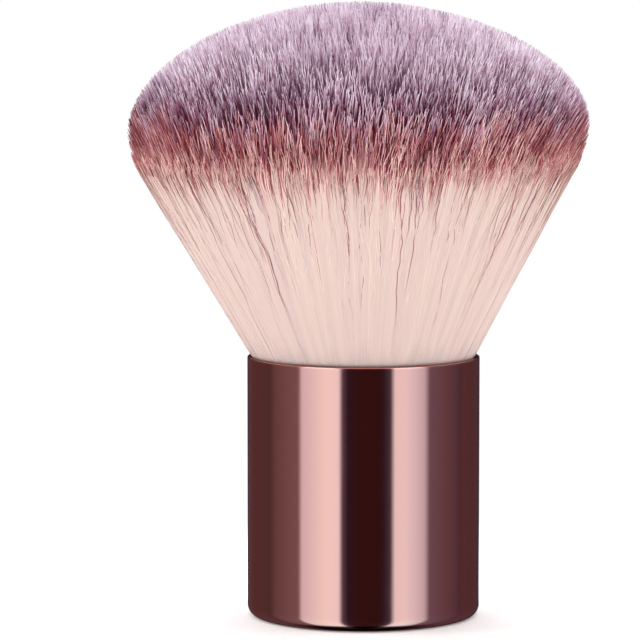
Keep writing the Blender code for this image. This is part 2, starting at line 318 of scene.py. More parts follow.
def spin_section(points, segments):
    """Spins a chain of (radius, height) points once round Z into a mesh with closed poles."""
    shape = bmesh.new()
    chain = [shape.verts.new((radius, 0, height)) for radius, height in points]
    edges = [shape.edges.new(pair) for pair in zip(chain, chain[1:])]
    bmesh.ops.spin(
        shape, geom=chain + edges, angle=math.tau, steps=segments,
        axis=(0, 0, 1), cent=(0, 0, 0), use_merge=True,
    )
    bmesh.ops.remove_doubles(shape, verts=shape.verts[:], dist=MERGE)
    return shape


def edges_at(shape, radius, height):
    """The ring of edges at this radius and height."""
    def on_ring(vert):
        off = math.hypot(vert.co.x, vert.co.y) - radius
        return abs(off) < TOUCH and abs(vert.co.z - height) < TOUCH
    return [edge for edge in shape.edges if all(map(on_ring, edge.verts))]


def face_out(shape, smooth=True):
    """Turns all faces outwards and sets their shading."""
    bmesh.ops.recalc_face_normals(shape, faces=shape.faces[:])
    for face in shape.faces:
        face.smooth = smooth


bore = SHELL_RADIUS - SHELL_WALL
floor_top = FOOT_RECESS + SHELL_WALL
recess_edge = FOOT_INNER - FOOT_SLOPE
section = [
    (0, FOOT_RECESS), (recess_edge, FOOT_RECESS), (FOOT_INNER, 0), (SHELL_RADIUS, 0),
    (SHELL_RADIUS, SHELL_HEIGHT), (bore, SHELL_HEIGHT), (bore, floor_top), (0, floor_top),
]
shape = spin_section(section, SHELL_SEGMENTS)
# Radius of each bevel, its steps and the rings of edges that it rounds.
for rounding, steps, rings in (
    (CORNER_RADIUS, 9, [(SHELL_RADIUS, 0)]),
    (CORNER_RADIUS - SHELL_WALL, 6, [(bore, floor_top)]),
    (RIM_ROUNDING, 4, [(SHELL_RADIUS, SHELL_HEIGHT), (bore, SHELL_HEIGHT)]),
    (FOOT_ROUNDING, 3, [(FOOT_INNER, 0), (recess_edge, FOOT_RECESS)]),
):
    bmesh.ops.bevel(
        shape, geom=[e for ring in rings for e in edges_at(shape, *ring)], offset=rounding,
        offset_type="OFFSET", segments=steps, profile=0.5, affect="EDGES", material=-1,
    )
for height in (CORNER_RADIUS + SUPPORT_GAP, SHELL_HEIGHT - RIM_ROUNDING - SUPPORT_GAP):
    bmesh.ops.bisect_plane(
        shape, geom=shape.verts[:] + shape.edges[:] + shape.faces[:], dist=MERGE,
        plane_co=(0, 0, height), plane_no=(0, 0, 1),
    )
face_out(shape)
print("shell faces:", len(shape.faces))

# %% [markdown]
# The aluminium is polished, plated and lacquered rose brown. A metal's base colour tints its
# reflections. They turn paler at a flat angle, where the specular tint keeps the edge rosy. A very
# fine ripple from the press, faint polishing lines and slightly duller places keep it from looking
# like a perfect mirror. Where hands and tables touch it, at the rim and the lower corner, the
# lacquer is worn a little paler and duller.

# %% Plated metal
METAL_COLOUR, WORN_COLOUR, EDGE_COLOUR = "#B8736C", "#C98F86", "#EDC0B8"
# In mm, and the share that shows: the press leaves wide, tall ripples, and polishing lines run
# round the shell. Real lines are about 0.02 mm apart and are drawn at 0.25 mm, so that they show.
RIPPLE_WIDTH, RIPPLE_HEIGHT, RIPPLE_DEPTH, RIPPLE_SHARE = 9.09, 20, 0.02, 0.10
LINE_LENGTH, LINE_SPACING, LINE_DEPTH, LINE_SHARE = 16.667, 0.25, 0.001, 0.05
# Duller places: size in mm, noise from none to full, roughness there, and what wear adds to it.
SMEAR_SIZE, SMEAR_NOISE, SMEAR_ROUGHNESS, WEAR_ROUGHNESS = 6.25, (0.35, 0.75), (0.055, 0.09), 0.12
# Heights between which wear fades out above the corner and comes in below the rim.
CORNER_WEAR = 0.5 * MM, 2.2 * MM
RIM_WEAR = SHELL_HEIGHT - 0.5 * MM, SHELL_HEIGHT


def stretched_noise(add, place, wide, tall, detail):
    """Noise whose pattern is this wide and this tall in mm."""
    place = add("Mapping", {"Vector": place, "Scale": (per(wide), per(wide), per(tall))})
    return add("TexNoise", {"Vector": place, "Scale": 1.0, "Detail": detail})


# A deep rose-brown mirror that shows soft-edged strips.
plated, add = new_material("rose_plated_aluminium")
place = add("TexCoord").outputs["Object"]
ripple = stretched_noise(add, place, RIPPLE_WIDTH, RIPPLE_HEIGHT, 1.0)
lines = stretched_noise(add, place, LINE_LENGTH, LINE_SPACING, 2.0)
smears = {"Vector": place, "Scale": per(SMEAR_SIZE), "Detail": 4.0, "Roughness": 0.6}
smears = add("TexNoise", smears)
_, _, z = add("SeparateXYZ", {0: place}).outputs
low = add("MapRange", span(z, *CORNER_WEAR, 1.0, 0.0), **SMOOTH)
high = add("MapRange", span(z, *RIM_WEAR), **SMOOTH)
wear = add("Math.MAXIMUM", {0: low, 1: high})
wear = add("Math.MULTIPLY", {0: wear, 1: smears})
colours = {0: wear, 6: linear(METAL_COLOUR), 7: linear(WORN_COLOUR)}
colour = add("Mix", colours, data_type="RGBA")
rough = add("MapRange", span(smears, *SMEAR_NOISE, *SMEAR_ROUGHNESS))
rough = add("Math.MULTIPLY_ADD", {0: wear, 1: WEAR_ROUGHNESS, 2: rough})
bump = {"Strength": RIPPLE_SHARE, "Distance": RIPPLE_DEPTH * MM, "Height": ripple}
bump = {"Strength": LINE_SHARE, "Distance": LINE_DEPTH * MM, "Height": lines,
        "Normal": add("Bump", bump)}
surface = {"Base Color": colour, "Metallic": 1.0, "Roughness": rough,
           "Specular Tint": linear(EDGE_COLOUR), "Normal": add("Bump", bump)}
add("OutputMaterial", {"Surface": add("BsdfPrincipled", surface)})

shell = new_piece("shell_skin", shape, plated)
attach(shell, "root")
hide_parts("handle_shell")
print("shell is", round(shell.dimensions.x / MM, 2), "mm wide and",
      round(shell.dimensions.z / MM, 2), "mm tall")

# %% [markdown]
# ## The form of the head
# The fibres fan out from one point inside the shell, so the side of the head is a straight cone.
# The tips are cut to a low dome, whose lower edge is rounded over a few millimetres. Two small
# functions tell how far the cone and the trimmed head reach at a height.

# %% Head form
MOUTH_RADIUS, FAN_SLOPE = 16.85 * MM, 0.5705
EDGE_LOW, EDGE_HIGH = 66.6 * MM, 74.24 * MM
DOME_BASE, DOME_RADIUS, DOME_RISE, DOME_POWER = 73.8 * MM, 34.65 * MM, 18.8 * MM, 1.9
HEAD_TOP = DOME_BASE + DOME_RISE
# How far the head hangs over to the left, at a few heights, because no real head is centred.
LEAN_HEIGHTS = np.array([38, 47, 55, 62, 67, 71.5, 77.5, 84, 93]) * MM
LEAN_SHIFTS = np.array([0, 0.40, 0.68, 1.02, 1.15, 0.95, 0.50, 0.30, 0.50]) * MM
HALVINGS = 40


def cone_reach(height):
    """Radius of the untrimmed fan of fibres at a height."""
    return MOUTH_RADIUS + FAN_SLOPE * (height - SHELL_HEIGHT)


def head_reach(height):
    """Radius of the trimmed head at a height."""
    height = np.asarray(height, float)
    bend = (height - EDGE_LOW).clip(0, EDGE_HIGH - EDGE_LOW)
    lost = bend**2 / 2 / (EDGE_HIGH - EDGE_LOW)
    edge = cone_reach(np.minimum(height, EDGE_LOW)) + FAN_SLOPE * (bend - lost)
    rise = ((height - DOME_BASE) / DOME_RISE).clip(0, 1)
    return np.minimum(edge, DOME_RADIUS * (1 - rise**DOME_POWER) ** (1 / DOME_POWER))


def tip_height(share):
    """Height where a straight fibre, this share of the way out in the fan, meets the surface."""
    low, high = np.full(len(share), EDGE_LOW), np.full(len(share), HEAD_TOP)
    for _ in range(HALVINGS):
        middle = (low + high) / 2
        inside = share * cone_reach(middle) < head_reach(middle)
        low, high = np.where(inside, middle, low), np.where(inside, high, middle)
    return low


def lean(height):
    """How far the head hangs over to the left at a height."""
    return np.interp(height, LEAN_HEIGHTS, LEAN_SHIFTS)


def wave_round(waves, angle):
    """Adds up waves round the head: the size of each, how many there are and where they start."""
    return sum(size * np.sin(count * angle + start) for size, count, start in waves)


print("widest", round(2 * float(head_reach(DOME_BASE)) / MM, 2), "mm")

# %% [markdown]
# ## The dye
# The fibre is white-peach polyester filament. The finished head is dipped twice, tips down: first
# in maroon and then, less deep, in lilac, so the borders lie nearly level all round. Dye creeps up
# each filament by itself, so the borders are ragged and a few filaments carry the maroon far down
# as fine hairlines. Just below the maroon border the peach turns pinker and is painted lighter, to
# make up for the shade among the loose fibres. Tips and the top of the dome are paler, partly from
# the dye and partly as painted light, and the foot of the head is painted a little darker, as the
# shell's shadow.
#
# The same nodes colour the single fibres and the packed bundle below them. They take a height, a
# tone from dark to light, two random numbers that shift the borders, the length over which the
# maroon fades in, and a share that is 1 at a fibre's tip.

# %% Dye colours
# Each dye from a dark fibre to a light one, and where those four lie on the scale of tones.
TONE_PLACES = (0.0, 0.35, 0.65, 1.0)
PEACH = ("#D6BAB8", "#DFC4BE", "#E3C9BE", "#EBD5C9")
MAROON = ("#580A18", "#A0444E", "#D89092", "#F6D0CA")
DEEP_LILAC = ("#340A1A", "#662242", "#A25A82", "#DCB0CC")
PALE_LILAC = ("#745268", "#D2B6CA", "#F0E2EE", "#FFF8FF")
FOOT_SHADE_COLOUR, BLUSH_AND_LIGHT_COLOUR = "#D0BBB5", "#F3D2C8"
# Heights in mm between which each of these comes in, and how strong it is at both.
FOOT_SHADE_HEIGHTS, BLUSH_AND_LIGHT = (36.5, 40.5), (65, 69, 0, 0.9)
TIP_PALE, RISE_PALE = (75, 84, 0.5, 0.9), (78, 90.5)
# For a random share of the fibres, how high up the maroon starts, in mm.
MAROON_STARTS = [
    (0.0, 46.0), (0.01, 54.0), (0.03, 60.5), (0.08, 62.6),
    (0.17, 65.0), (0.32, 67.1), (0.48, 68.3), (1.0, 71.2),
]
BORDER_LOW, BORDER_HIGH = 44.0, 74.0
# The lilac starts between these heights in mm, and fades in over twice this length.
LILAC_LOW, LILAC_HIGH, LILAC_HALF_FADE = 71.6, 78.6, 1.8
# The dye's edge isn't quite level. Waves round the head: size in mm, number and start.
DYE_WAVES = [(0.6, 11, 1.0), (0.6, 26, 4.0), (0.5, 47, 2.0)]


def shades(colours, places=TONE_PLACES):
    """The stops of a colour ramp for some sRGB colours and their places."""
    return [(place, linear(colour)) for place, colour in zip(places, colours)]


def dye(add, height, tone, rag_low, rag_high, fade, tip_share):
    """Builds the dip-dyed colour with painted shade and light. height and fade are in mm, the
    others run from 0 to 1.
    """
    reach = BORDER_HIGH - BORDER_LOW
    starts = [(place, [(start - BORDER_LOW) / reach] * 3 + [1.0]) for place, start in MAROON_STARTS]
    border = add("ValToRGB", {0: rag_low}, stops=starts)
    border = add("MapRange", span(border, 0, 1, BORDER_LOW, BORDER_HIGH))
    past = add("Math.SUBTRACT", {0: height, 1: border})
    past = add("Math.DIVIDE", {0: past, 1: fade})
    maroon_share = add("MapRange", span(past, -1, 1), **SMOOTH)
    border = add("Math.MULTIPLY_ADD", {0: rag_high, 1: LILAC_LOW - LILAC_HIGH, 2: LILAC_HIGH})
    past = add("Math.SUBTRACT", {0: height, 1: border})
    lilac_share = add("MapRange", span(past, -LILAC_HALF_FADE, LILAC_HALF_FADE), **SMOOTH)

    dyes = PEACH, MAROON, DEEP_LILAC, PALE_LILAC
    peach, maroon, deep, pale = [add("ValToRGB", {0: tone}, stops=shades(row)) for row in dyes]
    # Painted shade: the foot of the head is darker, as the shell's shadow.
    foot = add("MapRange", span(height, *FOOT_SHADE_HEIGHTS), **SMOOTH)
    peach = add("Mix", {0: foot, 6: linear(FOOT_SHADE_COLOUR), 7: peach}, data_type="RGBA")
    # Painted light with a pinker tint just below the maroon border, making up for the shade among
    # the loose fibres.
    blush_and_light = add("MapRange", span(height, *BLUSH_AND_LIGHT), **SMOOTH)
    peach = add("Mix", {0: blush_and_light, 6: peach, 7: linear(BLUSH_AND_LIGHT_COLOUR)}, data_type="RGBA")
    # Paler tips and a paler top of the dome: partly the dye, partly painted light.
    tips_pale = add("MapRange", span(height, *TIP_PALE))
    rise = add("MapRange", span(height, *RISE_PALE))
    paleness = add("Math.MULTIPLY_ADD", {0: tip_share, 1: tips_pale, 2: rise})
    lilac = add("Mix", {0: paleness, 6: deep, 7: pale}, data_type="RGBA")
    colour = add("Mix", {0: maroon_share, 6: peach, 7: maroon}, data_type="RGBA")
    return add("Mix", {0: lilac_share, 6: colour, 7: lilac}, data_type="RGBA")


print("maroon from", MAROON_STARTS[0][1], "mm up, lilac from", LILAC_LOW, "mm up")

# %% [markdown]
# ## The packed bundle
# Nobody sees single fibres below the outermost millimetres, so one turned body stands for the mass
# of them. It fills the inner cup, has the thread's waist, and follows the head's form a little way
# below its surface. At the dyed edge it draws back by an uneven depth, in waves, so that only
# single fibres show there and no hard line.

# %% Bundle body
ROOT_LOW, ROOT_HIGH = 15.3 * MM, 30.56 * MM
ROOT_RADIUS, WAIST_RADIUS = 11.8 * MM, 10.9 * MM
WAIST_LOW, WAIST_HIGH, WAIST_SLOPE = 19.3 * MM, 22.3 * MM, 0.6 * MM
NECK = (12.2 * MM, 33 * MM)
# How far the bundle stays below the head's surface, for a few heights up the side, both in mm.
SIDE_DEPTHS = ([39.3, 55, 60, 64, 67, 69, 71], [0.07, 0.08, 0.10, 0.12, 0.17, 0.55, 1.8])
SIDE_TOP, SIDE_RINGS = 71 * MM, 24
DOME_DEPTH, DOME_RINGS, DOME_FIRST = 4.0 * MM, 26, 0.97
BUNDLE_SEGMENTS = 240
# Waves, in mm, that carry those depths up and down round the head, and where they act.
DEPTH_WAVES = [(0.7, 23, 0.0), (0.6, 61, 1.0), (0.5, 97, 2.0)]
WAVES_FROM, WAVES_OUTSIDE = 60 * MM, 25 * MM

section = [
    (0, ROOT_LOW), (ROOT_RADIUS, ROOT_LOW), (ROOT_RADIUS, WAIST_LOW - WAIST_SLOPE),
    (WAIST_RADIUS, WAIST_LOW), (WAIST_RADIUS, WAIST_HIGH),
    (ROOT_RADIUS, WAIST_HIGH + WAIST_SLOPE), (ROOT_RADIUS, ROOT_HIGH), NECK,
]
for height in np.linspace(SHELL_HEIGHT, SIDE_TOP, SIDE_RINGS):
    depth = np.interp(height / MM, *SIDE_DEPTHS) * MM
    section.append((float(head_reach(height)) - depth, height))
for radius in np.linspace(DOME_FIRST, 0, DOME_RINGS) * section[-1][0]:
    rise = 1 - (radius / DOME_RADIUS) ** DOME_POWER
    section.append((radius, DOME_BASE - DOME_DEPTH + DOME_RISE * rise ** (1 / DOME_POWER)))
shape = spin_section(section, BUNDLE_SEGMENTS)
face_out(shape)
for vert in shape.verts:
    radius, height = math.hypot(vert.co.x, vert.co.y), vert.co.z
    if height > WAVES_FROM and radius > WAVES_OUTSIDE:
        carried = height / MM + wave_round(DEPTH_WAVES, math.atan2(vert.co.y, vert.co.x))
        deeper = np.interp(carried, *SIDE_DEPTHS) - np.interp(height / MM, *SIDE_DEPTHS)
        vert.co.xy *= 1 - deeper * MM / radius
    vert.co.x -= float(lean(vert.co.z))
print("bundle faces:", len(shape.faces))

# %% [markdown]
# The bundle's finish draws the packed fibres as strands that run up the body, each with its own
# tone and its own borders of the dye. Its colour is painted darker than one fibre of the same dye,
# as shade for the light lost between packed fibres, and where it draws back at the border it is
# painted lighter than its dye, for light that comes through the fibres in front. Low down it is
# dyed later than the outer fibres, which the dye reaches first. At the border the gaps look red, so
# there its dye reaches as low as theirs.

# %% Packed fibre finish
STRANDS = 1800  # about 0.1 mm apart half-way up the side, as the real fibres are
# In mm: height of the relief, and size of the waves in which strands waver by a part of a radian.
STRAND_DEPTH, WAVER_SIZE, WAVER = 0.1, 3.333, 0.016
# Broad light and dark places: how many to a radius, noise from dark to light, and a strand's own.
BROAD_SCALE, BROAD_NOISE, STRAND_TONE = 20.0, (0.3, 0.7), 0.45
# Two heights in mm, and what changes between them: tone, darker as painted shade, how much later
# the dye starts in mm, and how much painted light is left.
DEPTH_SHADE_TONE = (65, 71, 1.0, 0.25)
DYE_DELAY = (62, 66.5, 2.5, -0.6)
PAINTED_LIGHT_LEFT = (66.5, 69.5, 0.885, 1.1)
BUNDLE_FADE = 3.0

# The shaded mass that shows in the narrow gaps between the outer fibres.
bundle_finish, add = new_material("packed_polyester_fibre")
place = add("TexCoord").outputs["Object"]
x, y, z = add("SeparateXYZ", {0: place}).outputs
turn = add("Math.ARCTAN2", {0: x, 1: y})
height = add("Math.MULTIPLY", {0: z, 1: 1 / MM})
for size, count, start in DYE_WAVES:
    wave = add("Math.MULTIPLY_ADD", {0: turn, 1: float(count), 2: start})
    wave = add("Math.SINE", {0: wave})
    height = add("Math.MULTIPLY_ADD", {0: wave, 1: size, 2: height})
waver = add("TexNoise", {"Vector": place, "Scale": per(WAVER_SIZE), "Detail": 1.0})
turn = add("Math.MULTIPLY_ADD", {0: waver, 1: WAVER, 2: turn})
strand = add("Math.MULTIPLY", {0: turn, 1: STRANDS / math.tau})
strand = add("Math.FLOOR", {0: strand})
chance = add("TexWhiteNoise", {"W": strand}, noise_dimensions="1D").outputs["Color"]
chance = add("SeparateColor", {0: chance})

around = add("VectorMath.NORMALIZE", {0: add("CombineXYZ", {0: x, 1: y})})
broad = {"Vector": around, "Scale": BROAD_SCALE, "Detail": 3.0, "Roughness": 0.7}
broad = add("MapRange", span(add("TexNoise", broad), *BROAD_NOISE))
tone = add("Mix", {0: STRAND_TONE, 2: broad, 3: chance})
# Painted shade: the tone turns darker where the bundle lies deeper behind the fibres.
deep = add("MapRange", span(height, *DEPTH_SHADE_TONE))
tone = add("Math.MULTIPLY", {0: tone, 1: deep})
delay = add("MapRange", span(height, *DYE_DELAY))
dyed = add("Math.SUBTRACT", {0: height, 1: delay})
colour = dye(add, dyed, tone, chance.outputs[1], chance.outputs[2], BUNDLE_FADE, tip_share=0.0)
# Painted shade and light: the colour is scaled down for light lost between packed fibres and up
# past 1 where the bundle draws back.
left = add("MapRange", span(height, *PAINTED_LIGHT_LEFT))
colour = add("VectorMath.SCALE", {0: colour, "Scale": left})
relief = add("Bump", {"Strength": 0.55, "Distance": STRAND_DEPTH * MM, "Height": chance})
surface = {"Base Color": colour, "Roughness": 0.8, "Specular IOR Level": 0.2, "Normal": relief}
add("OutputMaterial", {"Surface": add("BsdfPrincipled", surface)})

bundle = new_piece("bristle_bundle", shape, bundle_finish)
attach(bundle, "root")
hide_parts("bristle_tuft")
print("bundle is", round(bundle.dimensions.x / MM, 2), "mm wide")

# %% [markdown]
# ## One fibre
# A fibre is a thin filament, for which three sides are enough. A triangle is extruded once for each
# level, which gives a closed rod whose levels can later be laid along any path. Its UV map is
# filled in later: the way across says which kind of fibre it is, and the way up says its height.

# %% Fibre blank
UV_NAME = "OFBake"


def fibre_blank(levels):
    """A closed three-sided rod of radius 1 with its levels one unit apart."""
    shape = bmesh.new()
    bmesh.ops.create_circle(shape, cap_ends=True, segments=3, radius=1.0)
    for level in range(levels - 1):
        top = [f for f in shape.faces if all(v.co.z > level - 0.5 for v in f.verts)]
        grown = bmesh.ops.extrude_face_region(shape, geom=top)["geom"]
        grown = [g for g in grown if isinstance(g, bmesh.types.BMVert)]
        bmesh.ops.translate(shape, verts=grown, vec=(0, 0, 1))
    face_out(shape, smooth=False)
    shape.loops.layers.uv.new(UV_NAME)
    return shape


print("the fibres' UV map is named", UV_NAME)

# %% [markdown]
# ## All the fibres
# Where a fibre grows from is its place in the fan: a share of the way out and a direction. A
# sunflower pattern spreads those places evenly, and a small random shift takes the regularity away.
# Finer fibres are added in a thin outer layer. All random numbers have a fixed seed, so each run
# gives the same brush.
#
# Real fibres stick together in small locks. Points are dropped over the fan, and the one that is
# nearest to a fibre is the middle of its lock.

# %% Fibre places
FIBRES, OUTER_FIBRES = 25000, 3200
SHIFT = 0.0035
# Shares of the way out: where the main fibres end, and where the outer layer does.
INNER_REACH, OUTER_REACH = 0.990, 0.998
# Size of a lock and of a wider patch in the fan, and how far a middle stays inside its cell.
LOCK_SIZE, LOCK_MARGIN = 0.034, 0.15
PATCH_SIZE = LOCK_SIZE * 3.2
LOCK_TABLE = 256
rng = np.random.default_rng(11)

number = np.arange(FIBRES)
share = np.sqrt((number + 0.5) / FIBRES)
turns = number * math.pi * (3 - math.sqrt(5))
plan = np.stack([share * np.cos(turns), share * np.sin(turns)], 1)
plan += rng.normal(0, SHIFT, (FIBRES, 2))
reach = np.linalg.norm(plan, axis=1)
plan *= (np.minimum(reach, 1) * INNER_REACH / reach)[:, None]
outer = rng.random((OUTER_FIBRES, 2)) * (OUTER_REACH - INNER_REACH, math.tau) + (INNER_REACH, 0)
outer = outer[:, :1] * np.stack([np.cos(outer[:, 1]), np.sin(outer[:, 1])], 1)
plan = np.concatenate([plan, outer])
total = len(plan)
is_outer = np.arange(total) >= FIBRES
share = np.linalg.norm(plan, axis=1)


def nearest_lock(size, seed):
    """For each fibre, the middle of the nearest lock and a random number that the lock shares."""
    cell = np.floor(plan / size).astype(int)
    best, middle, luck = np.full(total, np.inf), np.zeros_like(plan), np.zeros(total)
    table = np.random.default_rng(seed).random((LOCK_TABLE, LOCK_TABLE, 3))
    for i in (-1, 0, 1):
        for j in (-1, 0, 1):
            at = cell + (i, j)
            chance = table[at[:, 0] % LOCK_TABLE, at[:, 1] % LOCK_TABLE]
            spot = (at + LOCK_MARGIN + (1 - 2 * LOCK_MARGIN) * chance[:, :2]) * size
            gap = np.linalg.norm(spot - plan, axis=1)
            closer = gap < best
            best[closer], middle[closer] = gap[closer], spot[closer]
            luck[closer] = chance[closer, 2]
    return middle, luck


lock_middle, lock_luck = nearest_lock(LOCK_SIZE, 5)
_, patch_luck = nearest_lock(PATCH_SIZE, 6)
print("fibres:", total, "of which", OUTER_FIBRES, "are the fine outer ones")

# %% [markdown]
# Many fibres end a little below the others, lie in their shade and are darker. A fibre's look is
# one of a few hundred kinds: a height class of its tip with one of twelve tones from dark to light,
# or a dark hairline, which some of the outermost fibres are. Neighbours in a lock and in a patch
# are alike, with some chance for each fibre, and a lock is darker at its edge.

# %% Fibre kinds and lengths
TIP_CLASSES, TONES, STRAYS = 28, 12, 16
KINDS = TIP_CLASSES * TONES + STRAYS
TIP_STEP = 1.05 * MM
# In mm: how much the tips wander, and how far short fibres end below the others.
TIP_WANDER, SHORT_LEAST, SHORT_MOST = 0.05, 0.2, 3.2
SHORT_SHARE, OUTER_SHORTER = 0.38, 0.3
MIDDLE_TONE, OWN_TONE, LOCK_TONE, PATCH_TONE = 0.69, 0.60, 0.28, 0.28
LOCK_EDGE_SHADE, SHORT_SHADE = 0.5, 0.28
HAIRLINE_FROM, HAIRLINE_TO, HAIRLINE_SHARE = 0.9955, 0.9975, 0.24

below = np.abs(rng.normal(0, TIP_WANDER, total))
short = rng.random(total) < SHORT_SHARE
shortened = rng.uniform(SHORT_LEAST, SHORT_MOST, total) * np.where(is_outer, OUTER_SHORTER, 1.0)
below = np.where(short, below + shortened, below) * MM
off_middle = np.linalg.norm(plan - lock_middle, axis=1) / LOCK_SIZE
tone = MIDDLE_TONE + OWN_TONE * (rng.random(total) - 0.5) + LOCK_TONE * (lock_luck - 0.5)
tone += PATCH_TONE * (patch_luck - 0.5) - LOCK_EDGE_SHADE * off_middle**2
tone = np.where(short, tone - SHORT_SHADE, tone).clip(0, 0.999)
tips = tip_height(share) - below
tip_class = ((HEAD_TOP - tips) / TIP_STEP).astype(int).clip(0, TIP_CLASSES - 1)
kind = tip_class * TONES + (tone * TONES).astype(int)
hairline = is_outer & (share > HAIRLINE_FROM) & (share < HAIRLINE_TO)
hairline &= rng.random(total) < HAIRLINE_SHARE
kind = np.where(hairline, rng.integers(KINDS - STRAYS, KINDS, total), kind)
print("kinds:", KINDS, "and hairlines:", int(hairline.sum()))

# %% [markdown]
# ## The path of a fibre
# numpy works out all paths of a piece at once, with a row for each fibre and a column for each
# level. A path is the straight line of the fan, pulled towards the middle of its lock, most of all
# at the tip. It crimps in short waves, bends in longer ones, sways slowly and drifts to one side.
# The outer fibres do so with their lock and lie side by side, while the others and the hairlines
# go their own ways. Paths also dip in and out a little. Low down the outer fibres sink into the
# bundle, where a real head is smooth, and the hairlines stay on top.

# %% Fibre paths
LOCK_PULL, TIP_RELEASE = 0.34, 0.4
# In mm: how far a fibre moves, and how far up it a wave takes for one radian.
CRIMP, OUTER_CRIMP, CRIMP_LENGTH = 0.12, 0.16, 0.6
BEND, BEND_LENGTH = 0.40, 1.9
SLOW, OUTER_SLOW, SLOW_LENGTH = 0.30, 0.15, 5.0
DRIFT, LOCK_DRIFT, PATCH_DRIFT = 2.5, 1.0, 0.6
DIP_QUICK, DIP_SLOW, DIP_IN, DIP_OUT_MOST, OUTER_DIP = 0.05, 0.10, 0.08, 0.02, 0.2
SINK, SINK_FROM, SINK_SPREAD, SINK_LENGTH = 0.12, 51, 13, 6
PACE_SPREAD, SLOW_PACE_SPREAD, SWAY_POWER, DIP_POWER = 0.6, 0.8, 0.4, 0.5
# Turns by which a lock shifts the start of its fibres' waves, and by which each fibre does.
CRIMP_SHIFTS, BEND_SHIFTS = (3, 0.25), (5, 0.15)
# Eight random numbers for each fibre.
dice = np.random.default_rng(3).random((total, 8))


def swing(height, length, pace, phase, spread=PACE_SPREAD):
    """A wave up the fibres, whose pace differs by this spread for a pace from 0 to 1."""
    return np.sin(height / (length * MM) * (1 - spread / 2 + spread * pace) + math.tau * phase)


def fibre_paths(chosen, height, along):
    """X and Y of the chosen fibres' middle lines at these heights, before the head's lean."""
    pace, phase, slow_pace, slow_phase, drifting, bend_pace, weight, _ = dice[chosen].T[:, :, None]
    at, middle = plan[chosen], lock_middle[chosen]
    luck, patch = lock_luck[chosen][:, None], patch_luck[chosen][:, None]
    fine, stray = is_outer[chosen][:, None], hairline[chosen][:, None]
    together = fine & ~stray
    spread = cone_reach(height)[:, :, None]
    grow = ((height - SHELL_HEIGHT) / (HEAD_TOP - SHELL_HEIGHT)).clip(0, 1)
    out = at / np.maximum(np.linalg.norm(at, axis=1), 1e-9)[:, None]
    side = np.stack([-out[:, 1], out[:, 0]], 1)

    pull = LOCK_PULL * grow**2 * (1 - TIP_RELEASE * along**4)
    path = at[:, None, :] * spread + (middle - at)[:, None, :] * spread * pull[:, :, None]
    phases = np.where(together, CRIMP_SHIFTS[0] * luck + CRIMP_SHIFTS[1] * phase, phase)
    crimp = swing(height, CRIMP_LENGTH, np.where(together, luck, pace), phases)
    phases = np.where(together, BEND_SHIFTS[0] * luck + BEND_SHIFTS[1] * pace, pace)
    bend = swing(height, BEND_LENGTH, np.where(together, luck, bend_pace), phases)
    slow = swing(height, SLOW_LENGTH, slow_pace, slow_phase, SLOW_PACE_SPREAD)
    shared = LOCK_DRIFT * (drifting - 0.5) + PATCH_DRIFT * (patch - 0.5)
    drift = np.where(together, shared, DRIFT * (drifting - 0.5))
    sway = np.where(fine, OUTER_CRIMP, CRIMP) * crimp + BEND * bend
    sway = sway + np.where(together, OUTER_SLOW, SLOW) * slow + drift * grow
    path += side[:, None, :] * (sway * MM * grow**SWAY_POWER)[:, :, None]

    quick = swing(height, CRIMP_LENGTH, pace, phase)
    dip = (DIP_QUICK * quick + DIP_SLOW * slow - DIP_IN) * np.where(fine, OUTER_DIP, 1.0)
    dip = np.minimum(dip * MM * grow**DIP_POWER, DIP_OUT_MOST * MM)
    low = (((SINK_FROM + SINK_SPREAD * weight) * MM - height) / (SINK_LENGTH * MM)).clip(0, 1)
    sink = SINK * MM * low**2 * (3 - 2 * low) * ~stray
    return path + out[:, None, :] * (dip - sink)[:, :, None]


print("a fibre crimps by", CRIMP, "mm and bends by", BEND, "mm to each side")

# %% [markdown]
# An Array modifier repeats the blank once for each fibre, and each copy is laid along its path. A
# fibre is thinner in the mouth, where all are pressed together, and tapers at its tip. One corner
# of its triangle points roughly outwards, turned a little by chance.

# %% Fibre layer
FIBRE_RADIUS = 0.086 * MM
OUTER_THICKNESS, HAIRLINE_THICKNESS, THICKNESS_SPREAD = 0.6, 0.5, 0.4
MOUTH_THICKNESS, FULL_FROM = 0.75, 55 * MM
TAPER_FROM, TIP_THICKNESS = 0.8, 0.45
TURN_SPREAD, OUTER_TURN_SPREAD = 0.6, 0.3
UV_LOW, UV_HIGH = 30 * MM, 94 * MM
# Where a kind's column on the UV map starts and how much of it is used, so columns never touch.
UV_MARGIN, UV_WIDTH = 0.15, 0.7


def repeat_blank(name, count, levels):
    """A piece with this many copies of the blank, and the points of one copy."""
    piece = new_piece(name, fibre_blank(levels), fibre_finish)
    blank_mesh = piece.data
    blank_co = np.array([v.co for v in blank_mesh.vertices], np.float32)
    piece.modifiers.new("repeat", "ARRAY").count = count
    piece.modifiers["repeat"].use_relative_offset = False
    ready = piece.evaluated_get(bpy.context.evaluated_depsgraph_get())
    piece.data = bpy.data.meshes.new_from_object(ready)
    piece.data.name = name
    piece.modifiers.clear()
    bpy.data.meshes.remove(blank_mesh)
    return piece, blank_co


